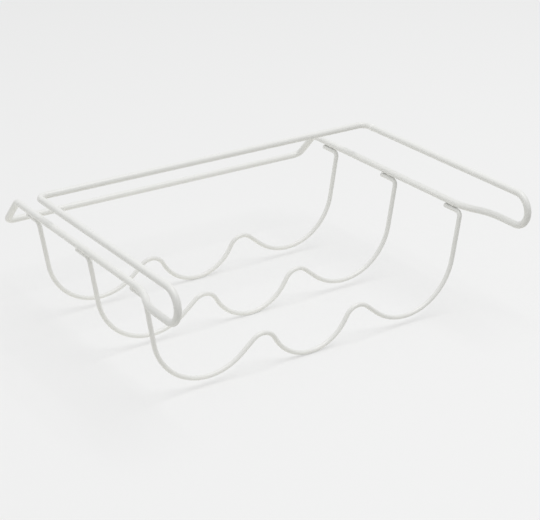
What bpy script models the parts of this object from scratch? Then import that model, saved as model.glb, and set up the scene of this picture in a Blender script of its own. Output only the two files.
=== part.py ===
"""Hanging wine rack for three bottles, all welded from coated steel wire.

It slides onto a shelf from the front: the shelf goes into the slot between the
upper and the lower arms, and the bottles lie front to back in three cradle
wires under it. X runs to the right, Y to the back and Z up, and the rack stands
on the middle valleys of its cradle wires. Lengths are in metres.
"""
import math

import bmesh
import bpy
from mathutils import Matrix, Vector

# Stock and overall size; the width follows from the cradles
ROD = 0.006                 # frame rod, across its flats
WIRE = 0.004                # cradle wire, across its flats
DEPTH = 0.320               # hairpins to lower back bar
HEIGHT = 0.1285             # middle valleys to the top of the upper arms

# Frame rod
SLOT = 0.0225               # clear height between the arms, for the shelf
UPPER_DEPTH = 0.224         # hairpins to the upper back bar, between centres
REAR_RADIUS = 0.008         # corners of the upper back bar
JOG_START = 0.033           # hairpins to the start of the jog
JOG = 0.011                 # how far the lower arms stand inboard
JOG_RADIUS = 0.055
DROP_BACK = 0.0245          # run of the lower arms' rear ends
DROP_DOWN = 0.026           # and how far they come down
DROP_RADIUS = 0.007
BUTT_BEHIND = 0.0125        # upper back bar to the butt weld, along the arm
BUTT_LENGTH = 0.002
BUTT_SWELL = 0.0003

# Cradle wires
LEG_AHEAD = 0.011           # front legs to the rear end of the jog
REAR_SPARE = 0.0395         # rear legs to the drop of the lower arms
MIDDLE_RADIUS = 0.0404      # middle valley, to the wire's centre
MIDDLE_SLOPE = math.radians(59)
MIDDLE_RUN = 0.004          # straight flank between middle valley and hump
HUMP_RADIUS = 0.0138
OUTER_SLOPE = math.radians(40)
OUTER_RUN = 0.0137          # straight flank between hump and outer valley
OUTER_RADIUS = 0.050
LEG_LEAN = math.radians(9.1)
FOOT_LENGTH = 0.021         # leg to the foot's cut end
FOOT_INBOARD = 0.001        # foot's centre inboard of the lower arm's
FOOT_RADIUS = 0.0045
CUT_EDGE = 0.0005           # rounding of the cut wire ends

# Welds between foot and lower arm
STAND_OFF = 0.0004          # fit between a foot and the arm over it
WELD_WIDTH = 0.0018
WELD_LENGTH = 0.0052
WELD_HEIGHT = 0.0028
WELD_OUTBOARD = 0.0012      # welds' centres out from the plane of the two wires' centres
TIP_WELD = 0.0035           # first weld, ahead of the foot's cut end
HEEL_WELD = 0.0085          # second weld, behind the leg
SEAT = 0.0003               # fit between a weld and the wires it joins

# Facets
ROD_SIDES = 12
WIRE_SIDES = 10
BEND_STEP = math.radians(8)
SHARP_EDGE = math.radians(40)
SAME_POINT = 1e-6           # path points closer than this are one
WELD_SEGMENTS = 16
WELD_RINGS = 8

# Places along the frame and heights, worked out from the sizes
FRONT_Y = ROD / 2 - DEPTH / 2
BACK_Y = DEPTH / 2 - ROD / 2
UPPER_Y = FRONT_Y + UPPER_DEPTH
DROP_Y = BACK_Y - DROP_BACK
UPPER_Z = HEIGHT - ROD / 2
LOWER_Z = UPPER_Z - SLOT - ROD
BUTT_Y = UPPER_Y - BUTT_BEHIND
JOG_TURN = math.acos(1 - JOG / JOG_RADIUS / 2)
JOG_END_Y = FRONT_Y + JOG_START + 2 * JOG_RADIUS * math.sin(JOG_TURN)
FRONT_LEG_Y = JOG_END_Y - LEG_AHEAD
REAR_LEG_Y = DROP_Y - REAR_SPARE
FOOT_REACH = ROD / 2 + STAND_OFF + WIRE / 2
FOOT_Z = LOWER_Z - math.sqrt(FOOT_REACH ** 2 - FOOT_INBOARD ** 2)

# Looks
COATING = ((0.86, 0.86, 0.83), 0.35)         # colour and roughness
WELD_COATING = ((0.84, 0.84, 0.80), 0.40)


def clear_scene():
    for item in list(bpy.data.objects):
        bpy.data.objects.remove(item, do_unlink=True)


def steps_for(turn):
    return max(1, math.ceil(abs(turn) / BEND_STEP))


def arc_points(centre, radius, start, end):
    """Points (u, v) on an arc between two angles, both ends included."""
    count = steps_for(end - start)
    angles = [start + (end - start) * i / count for i in range(count + 1)]
    return [(centre[0] + radius * math.cos(a), centre[1] + radius * math.sin(a)) for a in angles]


def cradle_pins():
    """Centres (x, z) of the pins that the right half of a cradle wire bends round."""
    count = steps_for(MIDDLE_SLOPE)
    step = MIDDLE_SLOPE / (count - 1 / 2)
    middle = Vector((0, WIRE / 2 + MIDDLE_RADIUS * math.cos(step / 2)))
    out_of_middle = Vector((math.sin(MIDDLE_SLOPE), -math.cos(MIDDLE_SLOPE)))
    up_flank = Vector((math.cos(MIDDLE_SLOPE), math.sin(MIDDLE_SLOPE)))
    hump = middle + out_of_middle * (MIDDLE_RADIUS + HUMP_RADIUS) + up_flank * MIDDLE_RUN
    out_of_hump = Vector((math.sin(OUTER_SLOPE), math.cos(OUTER_SLOPE)))
    down_flank = Vector((math.cos(OUTER_SLOPE), -math.sin(OUTER_SLOPE)))
    outer = hump + out_of_hump * (HUMP_RADIUS + OUTER_RADIUS) + down_flank * OUTER_RUN
    return middle, hump, outer, step


def cradle_outline():
    """Right half of a cradle wire as (x, z), from the middle valley to the leg's top."""
    middle, hump, outer, step = cradle_pins()
    straight_down = -math.pi / 2
    first = arc_points(middle, MIDDLE_RADIUS, straight_down + step / 2, straight_down + MIDDLE_SLOPE)
    crest = arc_points(hump, HUMP_RADIUS, math.pi / 2 + MIDDLE_SLOPE, math.pi / 2 - OUTER_SLOPE)
    valley = arc_points(outer, OUTER_RADIUS, straight_down - OUTER_SLOPE, -LEG_LEAN)
    leg_x, leg_z = valley[-1]
    foot_x = leg_x + (FOOT_Z - leg_z) * math.tan(LEG_LEAN)
    return first + crest + valley + [(foot_x, FOOT_Z)]


# Places across, from the cradle's legs out to the frame
FOOT_X = cradle_outline()[-1][0]
LOW_X = FOOT_X + FOOT_INBOARD
ARM_X = LOW_X + JOG


def rounded_path(corners):
    """Bends a wire through (point, bend radius) corners, with arcs of equal steps."""
    path = [Vector(corners[0][0])]
    for before, corner, after in zip(corners, corners[1:], corners[2:]):
        point, radius = Vector(corner[0]), corner[1]
        inward = (Vector(before[0]) - point).normalized()
        onward = (Vector(after[0]) - point).normalized()
        turn = math.pi - inward.angle(onward)
        middle = point + (inward + onward).normalized() * radius / math.cos(turn / 2)
        first = point + inward * radius * math.tan(turn / 2) - middle
        axis = onward.cross(inward)
        count = steps_for(turn)
        for i in range(count + 1):
            path.append(middle + Matrix.Rotation(turn * i / count, 3, axis) @ first)
    path.append(Vector(corners[-1][0]))
    kept = path[:1]
    for point in path[1:]:
        if (point - kept[-1]).length > SAME_POINT:
            kept.append(point)
    return kept


def ring_on(bm, point, across, up, radius, sides):
    """A ring with flats that face up and down, at the given radius across the flats."""
    corner = radius / math.cos(math.pi / sides)
    angles = [(i + 1 / 2) * 2 * math.pi / sides for i in range(sides)]
    outward = [up * math.cos(a) + across * math.sin(a) for a in angles]
    return [bm.verts.new(point + corner * way) for way in outward]


def bridge(bm, first, second):
    count = len(first)
    for i in range(count):
        j = (i + 1) % count
        bm.faces.new((first[i], first[j], second[j], second[i]))


def wire_mesh(name, path, up, radius, sides, cut_edge=0.0):
    """Sweeps a wire along a path, with mitred rings, so that each flat stays flat."""
    bm = bmesh.new()
    runs = [(b - a).normalized() for a, b in zip(path, path[1:])]
    up = (up - runs[0] * up.dot(runs[0])).normalized()
    rings = []
    if cut_edge:
        rings.append(ring_on(bm, path[0], runs[0].cross(up), up, radius - cut_edge, sides))
    rings.append(ring_on(bm, path[0] + runs[0] * cut_edge, runs[0].cross(up), up, radius, sides))
    for point, run, onward in zip(path[1:], runs, runs[1:]):
        plane = (run + onward).normalized()
        ring = ring_on(bm, point, run.cross(up), up, radius, sides)
        for vert in ring:
            vert.co -= run * (vert.co - point).dot(plane) / run.dot(plane)
        rings.append(ring)
        up = run.rotation_difference(onward) @ up
    end, run = path[-1], runs[-1]
    rings.append(ring_on(bm, end - run * cut_edge, run.cross(up), up, radius, sides))
    if cut_edge:
        rings.append(ring_on(bm, end, run.cross(up), up, radius - cut_edge, sides))
    for first, second in zip(rings, rings[1:]):
        bridge(bm, first, second)
    bm.faces.new(rings[0])
    bm.faces.new(rings[-1])
    return finished(bm, name)


def finished(bm, name):
    """Turns a closed bmesh into a mesh, faces out, smooth but for its cut ends."""
    bmesh.ops.recalc_face_normals(bm, faces=bm.faces)
    mesh = bpy.data.meshes.new(name)
    bm.to_mesh(mesh)
    bm.free()
    mesh.shade_smooth()
    mesh.set_sharp_from_angle(angle=SHARP_EDGE)
    return mesh


def coating(name, colour, roughness):
    """White plastic coating over steel."""
    material = bpy.data.materials.new(name)
    material.use_nodes = True
    shader = material.node_tree.nodes["Principled BSDF"]
    shader.inputs["Base Color"].default_value = (*colour, 1)
    shader.inputs["Roughness"].default_value = roughness
    shader.inputs["Metallic"].default_value = 0
    return material


def place(name, mesh, parent, location=(0, 0, 0), look=COATING):
    item = bpy.data.objects.new(name, mesh)
    bpy.context.scene.collection.objects.link(item)
    item.parent = parent
    item.location = location
    material = coating(name + "_coating", *look)
    if not mesh.materials:
        mesh.materials.append(material)
    item.material_slots[0].link = "OBJECT"
    item.material_slots[0].material = material
    return item


def helper(item):
    """Marks an object that only cuts others."""
    item.hide_render = True
    item.display_type = "WIRE"
    return item


def lower_half_corners(side):
    """Corners from a hairpin back along a lower arm to the lower back bar."""
    hairpin = (UPPER_Z - LOWER_Z) / 2
    jog_reach = JOG_RADIUS * math.tan(JOG_TURN / 2)
    jog_start = FRONT_Y + JOG_START + jog_reach
    jog_end = JOG_END_Y - jog_reach
    return [
        ((side * ARM_X, FRONT_Y, UPPER_Z), hairpin),
        ((side * ARM_X, FRONT_Y, LOWER_Z), hairpin),
        ((side * ARM_X, jog_start, LOWER_Z), JOG_RADIUS),
        ((side * LOW_X, jog_end, LOWER_Z), JOG_RADIUS),
        ((side * LOW_X, DROP_Y, LOWER_Z), DROP_RADIUS),
        ((side * LOW_X, BACK_Y, LOWER_Z - DROP_DOWN), DROP_RADIUS),
    ]


def frame_path():
    """The frame rod, from the butt weld round the loop and back to it."""
    half_gap = BUTT_LENGTH / 2 + SEAT
    start = [((ARM_X, BUTT_Y - half_gap, UPPER_Z), 0)]
    rear = [
        ((-ARM_X, UPPER_Y, UPPER_Z), REAR_RADIUS),
        ((ARM_X, UPPER_Y, UPPER_Z), REAR_RADIUS),
        ((ARM_X, BUTT_Y + half_gap, UPPER_Z), 0),
    ]
    return rounded_path(start + lower_half_corners(1) + lower_half_corners(-1)[::-1] + rear)


def butt_weld_mesh():
    """The short swollen weld that closes the frame rod."""
    half = BUTT_LENGTH / 2
    profile = [(-half, 0), (-half / 2, BUTT_SWELL), (half / 2, BUTT_SWELL), (half, 0)]
    bm = bmesh.new()
    rings = []
    for along, swell in profile:
        point = Vector((0, along, 0))
        rings.append(ring_on(bm, point, Vector((1, 0, 0)), Vector((0, 0, 1)), ROD / 2 + swell, ROD_SIDES))
    for first, second in zip(rings, rings[1:]):
        bridge(bm, first, second)
    bm.faces.new(rings[0])
    bm.faces.new(rings[-1])
    return finished(bm, "frame_butt_weld")


def cradle_path():
    """One wire from foot to foot, and the direction that faces its first flat."""
    right = [Vector((x, 0, z)) for x, z in cradle_outline()]
    left = [Vector((-p.x, 0, p.z)) for p in right]
    back = Vector((0, FOOT_LENGTH, 0))
    left_foot, right_foot = (
        rounded_path([(half[-1] + back, 0), (half[-1], FOOT_RADIUS), (half[-2], 0)])
        for half in (left, right)
    )
    path = left_foot[:-1] + left[-2::-1] + right[:-1] + right_foot[-2::-1]
    return path, (left[-1] - left[-2]).cross(back).normalized()


def weld_mesh():
    """The bead that both kinds of foot weld start from."""
    bm = bmesh.new()
    bmesh.ops.create_uvsphere(bm, u_segments=WELD_SEGMENTS, v_segments=WELD_RINGS, radius=1 / 2)
    bmesh.ops.scale(bm, vec=(WELD_WIDTH, WELD_LENGTH, WELD_HEIGHT), verts=bm.verts)
    return finished(bm, "foot_weld")


def carve(item, cutters):
    """Seats a weld against the wires that it joins."""
    for cutter in cutters:
        cut = item.modifiers.new("seat_on_" + cutter.name, "BOOLEAN")
        cut.operation = "DIFFERENCE"
        cut.solver = "EXACT"
        cut.object = cutter


def build():
    clear_scene()
    rack = bpy.data.objects.new("hanging_wine_rack", None)
    bpy.context.scene.collection.objects.link(rack)

    sky = Vector((0, 0, 1))
    loop = frame_path()
    place("frame_wire", wire_mesh("frame_wire", loop, sky, ROD / 2, ROD_SIDES), rack)
    place("frame_butt_weld", butt_weld_mesh(), rack, (ARM_X, BUTT_Y, UPPER_Z), WELD_COATING)
    frame_clearance = wire_mesh("frame_clearance", loop, sky, ROD / 2 + SEAT, ROD_SIDES)
    frame_cutter = helper(place("frame_clearance", frame_clearance, rack))

    bent, facing = cradle_path()
    cradle = wire_mesh("cradle_wire", bent, facing, WIRE / 2, WIRE_SIDES, CUT_EDGE)
    clearance = wire_mesh("cradle_clearance", bent, facing, WIRE / 2 + SEAT, WIRE_SIDES)
    bead = weld_mesh()
    to_gap = (ROD + STAND_OFF) / 2
    inward, down = FOOT_INBOARD / FOOT_REACH, (LOWER_Z - FOOT_Z) / FOOT_REACH
    middle_y = (FRONT_LEG_Y + REAR_LEG_Y) / 2
    for row, leg_y in (("front", FRONT_LEG_Y), ("middle", middle_y), ("rear", REAR_LEG_Y)):
        place("cradle_wire_" + row, cradle, rack, (0, leg_y, 0))
        cutter = helper(place("cradle_clearance_" + row, clearance, rack, (0, leg_y, 0)))
        for hand, side in (("left", -1), ("right", 1)):
            x = side * (LOW_X - to_gap * inward + WELD_OUTBOARD * down)
            z = LOWER_Z - to_gap * down - WELD_OUTBOARD * inward
            for spot, y in (("tip", leg_y + FOOT_LENGTH - TIP_WELD), ("heel", leg_y + HEEL_WELD)):
                name = "foot_weld_" + "_".join((row, hand, spot))
                weld = place(name, bead, rack, (x, y, z), WELD_COATING)
                carve(weld, (frame_cutter, cutter))


build()
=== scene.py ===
"""Looks of the hanging wine rack: round coated wires, their welds, and a plain studio.

Each section makes one piece of the rack, in the order in which the real one is
put together. X runs to the right, Y to the back and Z up. Lengths are in metres.
"""
import math

import bmesh
import bpy
from mathutils import Matrix, Vector


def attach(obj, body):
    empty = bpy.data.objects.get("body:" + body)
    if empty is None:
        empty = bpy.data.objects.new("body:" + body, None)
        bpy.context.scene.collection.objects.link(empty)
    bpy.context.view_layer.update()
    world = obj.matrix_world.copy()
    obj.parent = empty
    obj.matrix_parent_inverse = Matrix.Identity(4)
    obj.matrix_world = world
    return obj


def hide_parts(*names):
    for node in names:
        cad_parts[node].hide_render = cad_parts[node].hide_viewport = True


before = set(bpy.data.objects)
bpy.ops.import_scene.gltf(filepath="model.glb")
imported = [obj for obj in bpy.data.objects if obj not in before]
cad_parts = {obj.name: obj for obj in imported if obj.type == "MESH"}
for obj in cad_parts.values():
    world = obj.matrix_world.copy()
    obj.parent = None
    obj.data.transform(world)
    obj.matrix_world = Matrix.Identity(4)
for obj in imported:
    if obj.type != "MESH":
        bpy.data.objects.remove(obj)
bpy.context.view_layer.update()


# The frame rod. One 6 mm steel rod, bent round in a single loop: upper arms, upper
# back bar, front hairpins, lower arms with their inward jog, dropped lower back bar.
# The whole rack is coated once it is welded, so the coating runs round every bend.
ROD_RADIUS = 0.003
ROD_SIDES = 32
DEPTH = 0.320                 # hairpins to lower back bar
HEIGHT = 0.1285               # middle valleys to the top of the upper arms
SLOT = 0.0225                 # clear height between the arms, for the shelf
UPPER_DEPTH = 0.224           # hairpins to the upper back bar, between centres
BACK_CORNER_RADIUS = 0.008    # corners of the upper back bar
LOWER_ARM_X = 0.157075
JOG = 0.011                   # how far the lower arms stand inboard
JOG_START = 0.033             # hairpins to the start of the jog
JOG_RADIUS = 0.055
DROP_BACK = 0.0245            # run of the lower arms' rear ends
DROP_DOWN = 0.026             # and how far they come down
DROP_RADIUS = 0.007
BEND_STEP = math.radians(3)
LONGEST_STRETCH = 0.02        # of a wire without a ring of vertices
SAME_POINT = 1e-5             # points closer than this are one

ARM_X = LOWER_ARM_X + JOG
FRONT_Y = ROD_RADIUS - DEPTH / 2
BACK_Y = DEPTH / 2 - ROD_RADIUS
UPPER_BAR_Y = FRONT_Y + UPPER_DEPTH
DROP_Y = BACK_Y - DROP_BACK
UPPER_Z = HEIGHT - ROD_RADIUS
LOWER_Z = UPPER_Z - SLOT - 2 * ROD_RADIUS
LOWER_BAR_Z = LOWER_Z - DROP_DOWN
JOG_TURN = math.acos(1 - JOG / JOG_RADIUS / 2)
JOG_START_Y = FRONT_Y + JOG_START
JOG_END_Y = JOG_START_Y + 2 * JOG_RADIUS * math.sin(JOG_TURN)

LIT_COATING = (0.812, 0.812, 0.79, 1)
SHADED_COATING = (0.787, 0.789, 0.763, 1)
SMOOTHEST = 0.26              # roughness of the palest places
ROUGHEST = 0.34               # and of the darkest
PATCHES_PER_METRE = 60.0
SPECKS_PER_METRE = 420.0
SPECK_SHARE = 0.35
PALE_PLACES = 0.35            # noise at and below which the coating is palest
DARK_PLACES = 0.65            # and at and above which it is darkest
PEEL_PER_METRE = 700.0
WAVES_PER_METRE = 120.0
WAVE_SHARE = 0.5
RELIEF_DEPTH = 0.00004
RELIEF_STRENGTH = 0.3
COATING_IOR = 1.5


def bend(corners, closed=False):
    """Centre line of a wire through (point, bend radius) corners."""
    points = [Vector(point) for point, _ in corners]
    radii = [radius for _, radius in corners]
    count = len(points)
    line = []
    for i, (point, radius) in enumerate(zip(points, radii)):
        if not closed and i in (0, count - 1):
            line.append(point)
            continue
        inward = (points[i - 1] - point).normalized()
        onward = (points[(i + 1) % count] - point).normalized()
        turn = math.pi - inward.angle(onward)
        centre = point + (inward + onward).normalized() * radius / math.cos(turn / 2)
        first = point + inward * radius * math.tan(turn / 2) - centre
        axis = onward.cross(inward)
        steps = math.ceil(turn / BEND_STEP)
        line += [centre + Matrix.Rotation(turn * k / steps, 3, axis) @ first for k in range(steps + 1)]
    return spaced(line, closed)


def spaced(line, closed=False):
    """Drops doubled points and breaks long straight runs into even stretches."""
    kept = []
    ends = line[1:] + line[:1] if closed else line[1:]
    for point, after in zip(line, ends):
        length = (after - point).length
        if length < SAME_POINT:
            continue
        parts = math.ceil(length / LONGEST_STRETCH)
        kept += [point.lerp(after, k / parts) for k in range(parts)]
    return kept if closed else kept + [line[-1]]


def rings_along(line, radius, closed=False):
    """Cross-sections of a wire, each as its centre, the wire's direction, an up and a radius."""
    count = len(line)
    runs = []
    for i in range(count):
        before = line[i - 1] if closed or i else line[i]
        after = line[(i + 1) % count] if closed or i < count - 1 else line[i]
        runs.append((after - before).normalized())
    ups = [runs[0].orthogonal().normalized()]
    for run, onward in zip(runs, runs[1:]):
        ups.append(run.rotation_difference(onward) @ ups[-1])
    twist = 0.0
    if closed:
        last = runs[-1].rotation_difference(runs[0]) @ ups[-1]
        twist = math.atan2(last.cross(ups[0]).dot(runs[0]), last.dot(ups[0]))
    rings = []
    for i, (point, run, up) in enumerate(zip(line, runs, ups)):
        rings.append((point, run, Matrix.Rotation(twist * i / count, 3, run) @ up, radius))
    return rings


def sweep(name, rings, sides, closed=False):
    """Covers a wire's cross-sections with a smooth round skin."""
    mesh = bmesh.new()
    loops = []
    angles = [2 * math.pi * k / sides for k in range(sides)]
    for centre, run, up, radius in rings:
        across = run.cross(up)
        spokes = [up * math.cos(a) + across * math.sin(a) for a in angles]
        loops.append([mesh.verts.new(centre + spoke * radius) for spoke in spokes])
    return skin(name, mesh, loops, closed)


def skin(name, mesh, loops, closed=False):
    """Joins neighbouring loops of vertices with faces, caps open ends, and makes the object."""
    pairs = list(zip(loops, loops[1:]))
    if closed:
        pairs.append((loops[-1], loops[0]))
    for first, second in pairs:
        for k in range(len(first)):
            n = (k + 1) % len(first)
            mesh.faces.new((first[k], first[n], second[n], second[k]))
    if not closed:
        mesh.faces.new(loops[0])
        mesh.faces.new(loops[-1])
    return smooth_piece(name, mesh)


def smooth_piece(name, mesh):
    """Closes a bmesh into a smooth-shaded object."""
    bmesh.ops.recalc_face_normals(mesh, faces=mesh.faces)
    data = bpy.data.meshes.new(name)
    mesh.to_mesh(data)
    mesh.free()
    data.shade_smooth()
    piece = bpy.data.objects.new(name, data)
    bpy.context.scene.collection.objects.link(piece)
    return piece


def node_group(name, inputs, outputs):
    """A shader node group with its named sockets, and its two ends."""
    group = bpy.data.node_groups.new(name, "ShaderNodeTree")
    for socket, kind, value in inputs:
        group.interface.new_socket(socket, in_out="INPUT", socket_type=kind).default_value = value
    for socket, kind in outputs:
        group.interface.new_socket(socket, in_out="OUTPUT", socket_type=kind)
    return group, group.nodes.new("NodeGroupInput"), group.nodes.new("NodeGroupOutput")


def noise(group, place, detail, roughness):
    """A noise texture over a piece's own coordinates, so its scale counts features to the metre."""
    texture = group.nodes.new("ShaderNodeTexNoise")
    texture.inputs["Detail"].default_value = detail
    texture.inputs["Roughness"].default_value = roughness
    group.links.new(place.outputs["Object"], texture.inputs["Vector"])
    return texture


# Coating relief: the faint orange peel of a sprayed and baked coating, on slow waves
# where it ran a little before it set.
peel, peel_in, peel_out = node_group(
    "coating_relief",
    [
        ("Peel Per Metre", "NodeSocketFloat", PEEL_PER_METRE),
        ("Waves Per Metre", "NodeSocketFloat", WAVES_PER_METRE),
        ("Wave Share", "NodeSocketFloat", WAVE_SHARE),
    ],
    [("Height", "NodeSocketFloat")],
)
peel_place = peel.nodes.new("ShaderNodeTexCoord")
fine = noise(peel, peel_place, detail=2.0, roughness=0.45)
slow = noise(peel, peel_place, detail=1.0, roughness=0.4)
height = peel.nodes.new("ShaderNodeMix")
peel.links.new(peel_in.outputs["Peel Per Metre"], fine.inputs["Scale"])
peel.links.new(peel_in.outputs["Waves Per Metre"], slow.inputs["Scale"])
peel.links.new(peel_in.outputs["Wave Share"], height.inputs["Factor"])
peel.links.new(fine.outputs["Fac"], height.inputs["A"])
peel.links.new(slow.outputs["Fac"], height.inputs["B"])
peel.links.new(height.outputs["Result"], peel_out.inputs["Height"])

# Coating tone: thicker and thinner places of the coating, a touch lighter and darker,
# with a gloss that drifts a little along the wire.
tone, tone_in, tone_out = node_group(
    "coating_tone",
    [
        ("Light", "NodeSocketColor", LIT_COATING),
        ("Dark", "NodeSocketColor", SHADED_COATING),
        ("Smoothest", "NodeSocketFloat", SMOOTHEST),
        ("Roughest", "NodeSocketFloat", ROUGHEST),
    ],
    [("Color", "NodeSocketColor"), ("Roughness", "NodeSocketFloat")],
)
tone_place = tone.nodes.new("ShaderNodeTexCoord")
patches = noise(tone, tone_place, detail=3.0, roughness=0.55)
patches.inputs["Scale"].default_value = PATCHES_PER_METRE
specks = noise(tone, tone_place, detail=2.0, roughness=0.5)
specks.inputs["Scale"].default_value = SPECKS_PER_METRE
blotch = tone.nodes.new("ShaderNodeMix")
blotch.inputs["Factor"].default_value = SPECK_SHARE
spread = tone.nodes.new("ShaderNodeMapRange")
spread.inputs["From Min"].default_value = PALE_PLACES
spread.inputs["From Max"].default_value = DARK_PLACES
colour = tone.nodes.new("ShaderNodeMix")
colour.data_type = "RGBA"
gloss = tone.nodes.new("ShaderNodeMix")
tone.links.new(patches.outputs["Fac"], blotch.inputs["A"])
tone.links.new(specks.outputs["Fac"], blotch.inputs["B"])
tone.links.new(blotch.outputs["Result"], spread.inputs["Value"])
tone.links.new(spread.outputs["Result"], colour.inputs["Factor"])
tone.links.new(tone_in.outputs["Light"], colour.inputs["A"])
tone.links.new(tone_in.outputs["Dark"], colour.inputs["B"])
tone.links.new(colour.outputs["Result"], tone_out.inputs["Color"])
tone.links.new(spread.outputs["Result"], gloss.inputs["Factor"])
tone.links.new(tone_in.outputs["Smoothest"], gloss.inputs["A"])
tone.links.new(tone_in.outputs["Roughest"], gloss.inputs["B"])
tone.links.new(gloss.outputs["Result"], tone_out.inputs["Roughness"])


def coated(name, light=LIT_COATING, dark=SHADED_COATING, peel_scale=PEEL_PER_METRE, relief=RELIEF_DEPTH):
    """Off-white satin-gloss coating over steel."""
    material = bpy.data.materials.new(name)
    material.use_nodes = True
    nodes, links = material.node_tree.nodes, material.node_tree.links
    shader = nodes["Principled BSDF"]
    shader.inputs["IOR"].default_value = COATING_IOR
    look = nodes.new("ShaderNodeGroup")
    look.node_tree = tone
    look.inputs["Light"].default_value = light
    look.inputs["Dark"].default_value = dark
    surface = nodes.new("ShaderNodeGroup")
    surface.node_tree = peel
    surface.inputs["Peel Per Metre"].default_value = peel_scale
    bump = nodes.new("ShaderNodeBump")
    bump.inputs["Strength"].default_value = RELIEF_STRENGTH
    bump.inputs["Distance"].default_value = relief
    links.new(look.outputs["Color"], shader.inputs["Base Color"])
    links.new(look.outputs["Roughness"], shader.inputs["Roughness"])
    links.new(surface.outputs["Height"], bump.inputs["Height"])
    links.new(bump.outputs["Normal"], shader.inputs["Normal"])
    return material


def half_of_frame(side):
    """Corners from a hairpin back along a lower arm to the lower back bar."""
    hairpin_radius = (UPPER_Z - LOWER_Z) / 2
    reach = JOG_RADIUS * math.tan(JOG_TURN / 2)
    return [
        ((side * ARM_X, FRONT_Y, UPPER_Z), hairpin_radius),
        ((side * ARM_X, FRONT_Y, LOWER_Z), hairpin_radius),
        ((side * ARM_X, JOG_START_Y + reach, LOWER_Z), JOG_RADIUS),
        ((side * LOWER_ARM_X, JOG_END_Y - reach, LOWER_Z), JOG_RADIUS),
        ((side * LOWER_ARM_X, DROP_Y, LOWER_Z), DROP_RADIUS),
        ((side * LOWER_ARM_X, BACK_Y, LOWER_BAR_Z), DROP_RADIUS),
    ]


corners = half_of_frame(1) + half_of_frame(-1)[::-1] + [
    ((-ARM_X, UPPER_BAR_Y, UPPER_Z), BACK_CORNER_RADIUS),
    ((ARM_X, UPPER_BAR_Y, UPPER_Z), BACK_CORNER_RADIUS),
]
rod_rings = rings_along(bend(corners, closed=True), ROD_RADIUS, closed=True)
rod = sweep("bent_frame_rod", rod_rings, ROD_SIDES, closed=True)
rod.data.materials.append(coated("frame_rod_coating"))
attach(rod, "root")
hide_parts("frame_wire")


# The butt weld. The rod's two ends meet in the right upper arm, just ahead of the back
# bar, and are pressed together hot. What squeezed out was ground off, but for a low ring.
BUTT_BEHIND = 0.0125          # upper back bar to the butt weld, along the arm
BUTT_LENGTH = 0.0026
BUTT_SWELL = 0.00028          # height of the ring, from its sunk edges
BUTT_BURY = 0.00002           # how far its edges sink into the rod
BUTT_FULLNESS = 0.8           # power of a cosine; below 1 the ring is fuller
BUTT_STEPS = 12
# The ring's coating is paler than the rod's, so it shows as a light band across the rod.
LIT_BUTT = (0.90, 0.90, 0.88, 1)
SHADED_BUTT = (0.87, 0.87, 0.85, 1)
BUTT_RELIEF = 0.00006

BUTT_Y = UPPER_BAR_Y - BUTT_BEHIND

backward = Vector((0, 1, 0))
upward = Vector((0, 0, 1))
butt_rings = []
for k in range(BUTT_STEPS + 1):
    share = 2 * k / BUTT_STEPS - 1
    swell = BUTT_SWELL * math.cos(share * math.pi / 2) ** BUTT_FULLNESS - BUTT_BURY
    centre = Vector((ARM_X, BUTT_Y + share * BUTT_LENGTH / 2, UPPER_Z))
    butt_rings.append((centre, backward, upward, ROD_RADIUS + swell))
butt = sweep("ground_butt_weld", butt_rings, ROD_SIDES)
butt.data.materials.append(coated("butt_weld_coating", LIT_BUTT, SHADED_BUTT, relief=BUTT_RELIEF))
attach(butt, "root")
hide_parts("frame_butt_weld")


# The cradle wires. Three equal 4 mm steel wires, each bent into three valleys with two
# humps between them. Their legs lean out to the lower arms and end in feet that turn
# back along the arms.
WIRE_RADIUS = 0.002
WIRE_SIDES = 28
MIDDLE_RADIUS = 0.0404        # middle valley, to the wire's centre
MIDDLE_SLOPE = math.radians(59)
MIDDLE_RUN = 0.004            # straight flank between middle valley and hump
HUMP_RADIUS = 0.0138
OUTER_SLOPE = math.radians(40)
OUTER_RUN = 0.0137            # straight flank between hump and outer valley
OUTER_RADIUS = 0.050
LEG_LEAN = math.radians(9.1)
LEG_AHEAD = 0.011             # front legs to the rear end of the jog
REAR_SPARE = 0.0395           # rear legs to the drop of the lower arms
FOOT_LENGTH = 0.021           # leg to the foot's cut end
FOOT_RADIUS = 0.0045
FOOT_INBOARD = 0.001          # foot's centre inboard of the lower arm's
FOOT_GAP = 0.0004             # between foot and arm
CUT_ROUNDING = 0.0012         # softened rims of the cut ends
CUT_STEPS = 5
CRADLE_PEEL_PER_METRE = 760.0

STRAIGHT_UP = math.pi / 2
STRAIGHT_DOWN = -math.pi / 2
FOOT_REACH = ROD_RADIUS + FOOT_GAP + WIRE_RADIUS
FOOT_X = LOWER_ARM_X - FOOT_INBOARD
FOOT_Z = LOWER_Z - math.sqrt(FOOT_REACH ** 2 - FOOT_INBOARD ** 2)
FRONT_LEG_Y = JOG_END_Y - LEG_AHEAD
REAR_LEG_Y = DROP_Y - REAR_SPARE
LEG_Y = {"front": FRONT_LEG_Y, "middle": (FRONT_LEG_Y + REAR_LEG_Y) / 2, "rear": REAR_LEG_Y}


def arc(centre, radius, start, end):
    """Points in the plane of a cradle, on an arc between two angles."""
    steps = math.ceil(abs(end - start) / BEND_STEP)
    points = []
    for k in range(steps + 1):
        angle = start + (end - start) * k / steps
        x = centre.x + radius * math.cos(angle)
        z = centre.y + radius * math.sin(angle)
        points.append(Vector((x, 0, z)))
    return points


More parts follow.
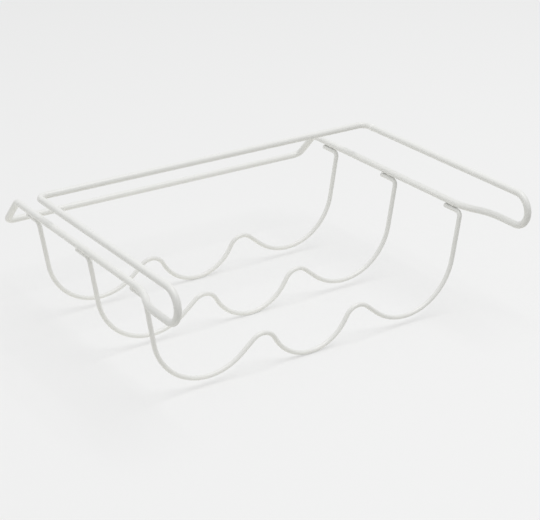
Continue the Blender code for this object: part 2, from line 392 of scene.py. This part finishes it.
def half_of_cradle():
    """From the bottom of the middle valley out to the foot's cut end, on the right."""
    middle = Vector((0, WIRE_RADIUS + MIDDLE_RADIUS))
    out_of_middle = Vector((math.sin(MIDDLE_SLOPE), -math.cos(MIDDLE_SLOPE)))
    up_flank = Vector((math.cos(MIDDLE_SLOPE), math.sin(MIDDLE_SLOPE)))
    hump = middle + out_of_middle * (MIDDLE_RADIUS + HUMP_RADIUS) + up_flank * MIDDLE_RUN
    out_of_hump = Vector((math.sin(OUTER_SLOPE), math.cos(OUTER_SLOPE)))
    down_flank = Vector((math.cos(OUTER_SLOPE), -math.sin(OUTER_SLOPE)))
    outer = hump + out_of_hump * (HUMP_RADIUS + OUTER_RADIUS) + down_flank * OUTER_RUN
    line = arc(middle, MIDDLE_RADIUS, STRAIGHT_DOWN, STRAIGHT_DOWN + MIDDLE_SLOPE)
    line += arc(hump, HUMP_RADIUS, STRAIGHT_UP + MIDDLE_SLOPE, STRAIGHT_UP - OUTER_SLOPE)
    line += arc(outer, OUTER_RADIUS, STRAIGHT_DOWN - OUTER_SLOPE, -LEG_LEAN)
    knee = Vector((FOOT_X, 0, FOOT_Z))
    tip = knee + Vector((0, FOOT_LENGTH, 0))
    return line + bend([(line[-1], 0), (knee, FOOT_RADIUS), (tip, 0)])[1:]


def cut_end(ring, inward):
    """Rings from the flat of a cut end to the full wire; inward is 1 at its start, -1 at its end."""
    point, run, up, radius = ring
    rings = []
    for k in range(CUT_STEPS, -1, -1):
        angle = math.pi / 2 * k / CUT_STEPS
        centre = point + run * inward * CUT_ROUNDING * (1 - math.sin(angle))
        rings.append((centre, run, up, radius - CUT_ROUNDING * (1 - math.cos(angle))))
    return rings


right = half_of_cradle()
left = [Vector((-point.x, point.y, point.z)) for point in right]
cradle_line = spaced(left[::-1] + right[1:])
cradle_coating = coated("cradle_wire_coating", peel_scale=CRADLE_PEEL_PER_METRE)
for row, leg_y in LEG_Y.items():
    wire = rings_along([point + Vector((0, leg_y, 0)) for point in cradle_line], WIRE_RADIUS)
    wire = cut_end(wire[0], 1) + wire[1:-1] + cut_end(wire[-1], -1)[::-1]
    cradle = sweep("bent_cradle_" + row, wire, WIRE_SIDES)
    cradle.data.materials.append(cradle_coating)
    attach(cradle, "root")
    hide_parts("cradle_wire_" + row)


# The foot welds. Each foot is fused to the lower arm above it by two short beads, which
# fill the groove outboard of it and leave a dark slit between them.
WELD_LENGTH = 0.004
WELD_ON_ARM = 0.0017          # how far outboard a bead reaches on the arm
WELD_ON_FOOT = 0.0017         # and on the foot
WELD_INNER = 0.0002           # where it starts, out from the plane of the wires' centres
WELD_BURY = 0.00004           # how far it sinks into both wires
WELD_CROWN = 0.12             # bulge of its face, as a share of the face's width
WELD_BLUNTNESS = 4            # a higher power gives blunter ends
WELD_TAPER = 0.7              # a higher power gives thinner ones
WELD_STEPS = 20
SEAT_STEPS = 6
CROWN_STEPS = 8
TIP_WELD = 0.0035             # first bead, ahead of the foot's cut end
HEEL_WELD = 0.0085            # second bead, behind the leg
# The beads' coating is painted paler than the rod's: painted light, standing in for light the beads lack
# in the shade under the arm.
PALE_WELD_PAINTED_LIGHT = (0.84, 0.84, 0.82, 1)
DARK_WELD_PAINTED_LIGHT = (0.80, 0.80, 0.775, 1)
WELD_PEEL_PER_METRE = 900.0
WELD_RELIEF = 0.00008


def seat(wire_radius, reach, share):
    """Points out along one wire, just inside it, as distances outboard and off its centre."""
    points = []
    for n in range(SEAT_STEPS + 1):
        out = WELD_INNER + (reach - WELD_INNER) * share * n / SEAT_STEPS
        points.append((out, math.sqrt(wire_radius ** 2 - out ** 2) - WELD_BURY))
    return points


def groove_bead(name, y):
    """A bead between arm and foot, deepest at its middle, on the right of the rack."""
    arm = Vector((LOWER_ARM_X, 0, LOWER_Z))
    down = Vector((FOOT_X, 0, FOOT_Z)) - arm
    down.normalize()
    outboard = Vector((-down.z, 0, down.x))
    bead = bmesh.new()
    loops = []
    for k in range(1, WELD_STEPS):
        along = -math.cos(math.pi * k / WELD_STEPS)
        share = (1 - along ** WELD_BLUNTNESS) ** WELD_TAPER
        on_arm = seat(ROD_RADIUS, WELD_ON_ARM, share)
        on_foot = [(out, FOOT_REACH - off) for out, off in seat(WIRE_RADIUS, WELD_ON_FOOT, share)]
        start, end = Vector(on_arm[-1]), Vector(on_foot[-1])
        proud = Vector((end.y - start.y, start.x - end.x)) * WELD_CROWN
        crown = []
        for n in range(1, CROWN_STEPS):
            crown.append(start.lerp(end, n / CROWN_STEPS) + proud * math.sin(math.pi * n / CROWN_STEPS))
        outline = on_arm + crown + on_foot[::-1]
        middle = arm + Vector((0, y + along * WELD_LENGTH / 2, 0))
        loops.append([bead.verts.new(middle + outboard * out + down * deep) for out, deep in outline])
    return skin(name, bead, loops)


# The foot welds' coating, painted paler for the light they lack in the arm's shade.
weld_coating_painted_light = coated("foot_weld_coating", PALE_WELD_PAINTED_LIGHT, DARK_WELD_PAINTED_LIGHT, WELD_PEEL_PER_METRE, WELD_RELIEF)
for row, leg_y in LEG_Y.items():
    for hand, side in (("left", -1), ("right", 1)):
        for spot, behind in (("tip", FOOT_LENGTH - TIP_WELD), ("heel", HEEL_WELD)):
            bead = groove_bead(f"fused_bead_{row}_{hand}_{spot}", leg_y + behind)
            if side < 0:
                bead.data.transform(Matrix.Scale(-1, 4, (1, 0, 0)))
                bead.data.flip_normals()
            bead.data.materials.append(weld_coating_painted_light)
            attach(bead, "root")
            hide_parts(f"foot_weld_{row}_{hand}_{spot}")


# The floor. A wide, matt, pale sheet that the rack stands on, lit evenly enough that
# the wires throw only faint shadows. It sends the most light back round the rack, and
# less further out, from a painted pool of light: its colour for light sent back is
# painted paler round the rack and darker further out, where a studio's light fades.
FLOOR_REACH = 6               # from its middle to each edge
FLOOR_COLOUR = (0.42, 0.42, 0.418, 1)
FLOOR_GLOW = (0.431, 0.431, 0.429, 1)
# Painted light and shade in the floor's colour for light sent back: paler in the pool, darker beyond it.
PAINTED_POOL_CENTRE = (-0.17, 0.19, 0.0)
PAINTED_POOL_INNER = 0.25             # full return within this distance of the pool's centre
PAINTED_POOL_OUTER = 0.8              # and the least beyond this one
PAINTED_POOL_LIGHT = (0.92, 0.91, 0.86, 1)
PAINTED_FALLOFF_SHADE = (0.335, 0.33, 0.31, 1)


def seen_share(nodes, links):
    """1 for rays from the camera, and for those that gloss or a clear thing sends on."""
    rays = nodes.new("ShaderNodeLightPath")
    share = rays.outputs["Is Camera Ray"]
    for kind in ("Is Glossy Ray", "Is Transmission Ray"):
        wider = nodes.new("ShaderNodeMath")
        wider.operation = "MAXIMUM"
        links.new(share, wider.inputs[0])
        links.new(rays.outputs[kind], wider.inputs[1])
        share = wider.outputs["Value"]
    return share


floor_mesh = bmesh.new()
bmesh.ops.create_grid(floor_mesh, x_segments=1, y_segments=1, size=FLOOR_REACH)
floor = smooth_piece("studio_floor", floor_mesh)
paper = bpy.data.materials.new("floor_paper")
paper.use_nodes = True
paper_nodes, paper_links = paper.node_tree.nodes, paper.node_tree.links
paper_nodes.remove(paper_nodes["Principled BSDF"])
here = paper_nodes.new("ShaderNodeNewGeometry")

# What the camera sees: a shaded paper with an even glow, which thins the shadows.
shaded = paper_nodes.new("ShaderNodeBsdfDiffuse")
shaded.inputs["Color"].default_value = FLOOR_COLOUR
glow = paper_nodes.new("ShaderNodeEmission")
glow.inputs["Color"].default_value = FLOOR_GLOW
seen = paper_nodes.new("ShaderNodeAddShader")
paper_links.new(shaded.outputs["BSDF"], seen.inputs[0])
paper_links.new(glow.outputs["Emission"], seen.inputs[1])

# What the rack gets back: a painted pool of light, palest within the pool, and painted darker out to its
# edge.
away = paper_nodes.new("ShaderNodeVectorMath")
away.operation = "DISTANCE"
away.inputs[1].default_value = PAINTED_POOL_CENTRE
painted_falloff = paper_nodes.new("ShaderNodeMapRange")
painted_falloff.inputs["From Min"].default_value = PAINTED_POOL_INNER
painted_falloff.inputs["From Max"].default_value = PAINTED_POOL_OUTER
painted_pool = paper_nodes.new("ShaderNodeMix")
painted_pool.data_type = "RGBA"
painted_pool.inputs["A"].default_value = PAINTED_POOL_LIGHT
painted_pool.inputs["B"].default_value = PAINTED_FALLOFF_SHADE
bounced = paper_nodes.new("ShaderNodeBsdfDiffuse")
paper_links.new(here.outputs["Position"], away.inputs[0])
paper_links.new(away.outputs["Value"], painted_falloff.inputs["Value"])
paper_links.new(painted_falloff.outputs["Result"], painted_pool.inputs["Factor"])
paper_links.new(painted_pool.outputs["Result"], bounced.inputs["Color"])

# From below the paper is clear, so the rack shows from there too.
either = paper_nodes.new("ShaderNodeMixShader")
clear = paper_nodes.new("ShaderNodeBsdfTransparent")
one_sided = paper_nodes.new("ShaderNodeMixShader")
paper_links.new(seen_share(paper_nodes, paper_links), either.inputs["Fac"])
paper_links.new(bounced.outputs["BSDF"], either.inputs[1])
paper_links.new(seen.outputs["Shader"], either.inputs[2])
paper_links.new(here.outputs["Backfacing"], one_sided.inputs["Fac"])
paper_links.new(either.outputs["Shader"], one_sided.inputs[1])
paper_links.new(clear.outputs["BSDF"], one_sided.inputs[2])
paper_links.new(one_sided.outputs["Shader"], paper_nodes["Material Output"].inputs["Surface"])
floor.data.materials.append(paper)


# The light. One wide soft box hangs high, ahead of the rack and to its right, in a
# pale room that is brighter behind the rack than in front of it.
BOX_WIDTH = 1.7
BOX_DEPTH = 1.9
BOX_WATTS = 32
BOX_PLACE = (0.4, -0.6, 2.6)
WALL_COLOUR = (0.985, 0.99, 1.0, 1)
BRIGHTEST_WAY = (-0.09, 1.0, 0.0)
FRONT_STRENGTH = 0.54         # of the walls in front of the rack
REAR_STRENGTH = 0.88          # and of those behind it
BACKDROP_COLOUR = (0.735, 0.735, 0.735, 1)

lamp = bpy.data.lights.new("overhead_soft_box", "AREA")
lamp.shape = "RECTANGLE"
lamp.size = BOX_WIDTH
lamp.size_y = BOX_DEPTH
lamp.energy = BOX_WATTS
overhead = bpy.data.objects.new("overhead_soft_box", lamp)
overhead.location = BOX_PLACE
bpy.context.scene.collection.objects.link(overhead)

room = bpy.data.worlds.new("pale_room")
bpy.context.scene.world = room
room.use_nodes = True
room_nodes, room_links = room.node_tree.nodes, room.node_tree.links
direction = room_nodes.new("ShaderNodeTexCoord")
rearward = room_nodes.new("ShaderNodeVectorMath")
rearward.operation = "DOT_PRODUCT"
rearward.inputs[1].default_value = BRIGHTEST_WAY
strength = room_nodes.new("ShaderNodeMapRange")
strength.inputs["From Min"].default_value = -1.0
strength.inputs["To Min"].default_value = FRONT_STRENGTH
strength.inputs["To Max"].default_value = REAR_STRENGTH
walls = room_nodes["Background"]
walls.inputs["Color"].default_value = WALL_COLOUR
backdrop = room_nodes.new("ShaderNodeBackground")
backdrop.inputs["Color"].default_value = BACKDROP_COLOUR
pick = room_nodes.new("ShaderNodeMixShader")
room_links.new(direction.outputs["Generated"], rearward.inputs[0])
room_links.new(rearward.outputs["Value"], strength.inputs["Value"])
room_links.new(strength.outputs["Result"], walls.inputs["Strength"])
room_links.new(seen_share(room_nodes, room_links), pick.inputs["Fac"])
room_links.new(walls.outputs["Background"], pick.inputs[1])
room_links.new(backdrop.outputs["Background"], pick.inputs[2])
room_links.new(pick.outputs["Shader"], room_nodes["World Output"].inputs["Surface"])
bpy.context.scene.view_settings.view_transform = "Standard"


# The camera. It looks down on the rack from its front left, through a long lens that
# keeps the arms and the bars nearly parallel. Lens and sensor are in millimetres.
FOCAL_LENGTH = 105.203
SENSOR_WIDTH = 36
FARTHEST_SEEN = 50
CAMERA_PLACE = (-0.68417, -1.04023, 0.60111)
CAMERA_TURN = math.radians(-33.995)
CAMERA_TILT = math.radians(90 - 23.771)
CAMERA_ROLL = math.radians(0.182)

lens = bpy.data.cameras.new("product_camera")
lens.sensor_fit = "HORIZONTAL"
lens.sensor_width = SENSOR_WIDTH
lens.lens = FOCAL_LENGTH
lens.clip_end = FARTHEST_SEEN
camera = bpy.data.objects.new("product_camera", lens)
bpy.context.scene.collection.objects.link(camera)
turn = Matrix.Rotation(CAMERA_TURN, 4, "Z")
tilt = Matrix.Rotation(CAMERA_TILT, 4, "X")
roll = Matrix.Rotation(CAMERA_ROLL, 4, "Z")
camera.matrix_world = Matrix.Translation(CAMERA_PLACE) @ turn @ tilt @ roll
bpy.context.scene.camera = camera
